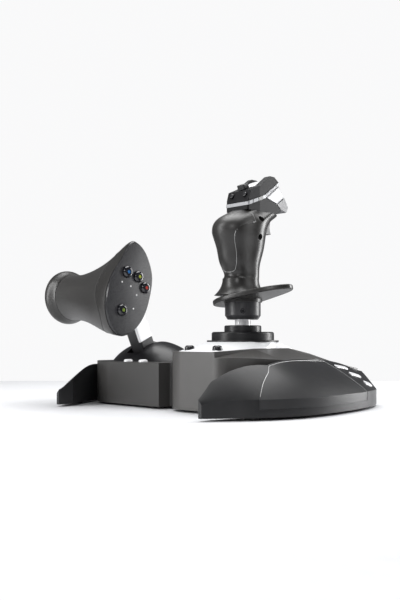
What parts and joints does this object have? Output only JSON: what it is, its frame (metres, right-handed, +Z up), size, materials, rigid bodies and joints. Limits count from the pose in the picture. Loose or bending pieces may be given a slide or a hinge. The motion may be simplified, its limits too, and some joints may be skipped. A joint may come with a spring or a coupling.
{
  "type": "flight joystick",
  "caption": "Twin-body flight controller: a tilting, twisting stick with trigger, hat and hand rest beside a hinged throttle lever with thumb buttons.",
  "frame": {"origin": "middle of the object's footprint, on the surface it stands on", "axes": "+Z up, +X to the user's right across both bodies, +Y away from the user"},
  "size_m": [0.3216, 0.2318, 0.2386],
  "materials": {
    "black_plastic": "fine satin grain",
    "grey_plastic": "satin warm grey",
    "silver_plastic": "fine silver paint",
    "light_trim": "satin silver",
    "gloss_black": "polished",
    "soft_rubber": "soft touch",
    "foot_rubber": "matt",
    "steel": "plain zinc",
    "board_green": "solder mask",
    "inner_black": "moulded",
    "white_button": "gloss",
    "blue_button": "gloss, tinted",
    "yellow_button": "gloss, tinted",
    "red_button": "gloss, tinted",
    "green_button": "gloss, tinted"
  },
  "bodies": {
    "base": {"joystick_housing": "grey_plastic", "right_wing": "black_plastic", "wing_panels": "grey_plastic", "wing_gills": "light_trim", "control_plate": "silver_plastic", "stick_ring": "black_plastic", "joystick_bottom_cover": "inner_black", "rubber_feet": "foot_rubber", "base_screws": "steel", "main_board": "board_green", "cable_grommet": "foot_rubber", "gimbal_bracket": "inner_black", "base_sensors": "inner_black", "pitch_spring": "steel", "throttle_housing": "grey_plastic", "left_wing": "black_plastic", "throttle_dome": "gloss_black", "throttle_bottom_cover": "inner_black", "link_plate": "steel", "throttle_bracket": "inner_black", "throttle_friction_pad": "foot_rubber"},
    "yoke": {"pitch_yoke": "inner_black", "roll_sensor": "inner_black", "roll_spring": "steel"},
    "shaft": {"roll_hub": "steel", "stick_shaft": "white_button", "dust_dome": "black_plastic", "shaft_ring": "black_plastic"},
    "grip": {"grip_collar": "grey_plastic", "grip_left_shell": "grey_plastic", "grip_right_shell": "grey_plastic", "palm_inlay": "soft_rubber", "grip_screws": "steel", "rudder_lock_screw": "gloss_black", "rudder_sensor": "inner_black", "head_housing": "gloss_black", "head_rim": "light_trim", "head_nose": "grey_plastic", "head_top_panel": "black_plastic"},
    "hand_rest": {"hand_rest": "grey_plastic"},
    "hat": {"hat_switch": "black_plastic"},
    "trigger": {"trigger": "black_plastic"},
    "head_button_left": {"head_button_left": "gloss_black"},
    "head_button_right": {"head_button_right": "gloss_black"},
    "plate_button_left": {"plate_button_left": "gloss_black"},
    "plate_button_right": {"plate_button_right": "gloss_black"},
    "base_button_left": {"base_button_left": "white_button"},
    "base_button_right": {"base_button_right": "white_button"},
    "throttle": {"throttle_arm": "black_plastic", "throttle_arm_trim": "silver_plastic", "throttle_handle_shell": "grey_plastic", "throttle_face": "gloss_black", "throttle_sleeve": "soft_rubber", "throttle_end_cap": "grey_plastic", "throttle_board": "board_green"},
    "rocker": {"throttle_rocker": "black_plastic"},
    "face_button_1": {"face_button_1": "blue_button"},
    "face_button_2": {"face_button_2": "yellow_button"},
    "face_button_3": {"face_button_3": "red_button"},
    "face_button_4": {"face_button_4": "green_button"}
  },
  "joints": [
    {"name": "stick_pitch", "type": "hinge", "parent": "base", "child": "yoke", "pos_m": [0.0465, 0.004, 0.052], "axis": [1, 0, 0], "range_deg": [-15, 15], "stiffness_Nm_per_rad": 1.6},
    {"name": "stick_roll", "type": "hinge", "parent": "yoke", "child": "shaft", "pos_m": [0.0465, 0.004, 0.052], "axis": [0, 1, 0], "range_deg": [-15, 15], "stiffness_Nm_per_rad": 1.6},
    {"name": "grip_twist", "type": "hinge", "parent": "shaft", "child": "grip", "pos_m": [0.0465, 0.004, 0.12], "axis": [0, 0, 1], "range_deg": [-15, 15], "stiffness_Nm_per_rad": 0.8},
    {"name": "hand_rest_slide", "type": "slide", "parent": "grip", "child": "hand_rest", "axis": [0, 0, 1], "range_m": [-0.006, 0]},
    {"name": "trigger_pull", "type": "hinge", "parent": "grip", "child": "trigger", "pos_m": [0.0465, 0.0405, 0.2035], "axis": [1, 0, 0], "range_deg": [-8, 0], "stiffness_Nm_per_rad": 0.12, "springref_deg": 2.86},
    {"name": "hat_press", "type": "hinge", "parent": "grip", "child": "hat", "pos_m": [0.0465, 0.00731, 0.21807], "axis": [1, 0, 0], "range_deg": [-5, 5], "stiffness_Nm_per_rad": 0.1},
    {"name": "head_button_left_press", "type": "slide", "parent": "grip", "child": "head_button_left", "axis": [0, 0.944, -0.33], "range_m": [0, 0.0008], "stiffness_N_per_m": 600, "springref_m": -0.0003},
    {"name": "head_button_right_press", "type": "slide", "parent": "grip", "child": "head_button_right", "axis": [0, 0.944, -0.33], "range_m": [0, 0.0008], "stiffness_N_per_m": 600, "springref_m": -0.0003},
    {"name": "plate_button_left_press", "type": "slide", "parent": "base", "child": "plate_button_left", "axis": [0, 0, -1], "range_m": [0, 0.001], "stiffness_N_per_m": 600, "springref_m": -0.0003},
    {"name": "plate_button_right_press", "type": "slide", "parent": "base", "child": "plate_button_right", "axis": [0, 0, -1], "range_m": [0, 0.001], "stiffness_N_per_m": 600, "springref_m": -0.0003},
    {"name": "base_button_left_press", "type": "slide", "parent": "base", "child": "base_button_left", "axis": [0, 0, -1], "range_m": [0, 0.001], "stiffness_N_per_m": 600, "springref_m": -0.0003},
    {"name": "base_button_right_press", "type": "slide", "parent": "base", "child": "base_button_right", "axis": [0, 0, -1], "range_m": [0, 0.001], "stiffness_N_per_m": 600, "springref_m": -0.0003},
    {"name": "throttle_travel", "type": "hinge", "parent": "base", "child": "throttle", "pos_m": [-0.0615, -0.016, 0.02], "axis": [1, 0, 0], "range_deg": [-48, 0]},
    {"name": "throttle_rocker_tilt", "type": "hinge", "parent": "throttle", "child": "rocker", "pos_m": [-0.095, -0.053, 0.114], "axis": [0, 0, 1], "range_deg": [-7, 7], "stiffness_Nm_per_rad": 0.3},
    {"name": "face_button_1_press", "type": "slide", "parent": "throttle", "child": "face_button_1", "axis": [-1, 0, 0], "range_m": [0, 0.0012], "stiffness_N_per_m": 600, "springref_m": -0.0003},
    {"name": "face_button_2_press", "type": "slide", "parent": "throttle", "child": "face_button_2", "axis": [-1, 0, 0], "range_m": [0, 0.0012], "stiffness_N_per_m": 600, "springref_m": -0.0003},
    {"name": "face_button_3_press", "type": "slide", "parent": "throttle", "child": "face_button_3", "axis": [-1, 0, 0], "range_m": [0, 0.0012], "stiffness_N_per_m": 600, "springref_m": -0.0003},
    {"name": "face_button_4_press", "type": "slide", "parent": "throttle", "child": "face_button_4", "axis": [-1, 0, 0], "range_m": [0, 0.0012], "stiffness_N_per_m": 600, "springref_m": -0.0003}
  ]
}
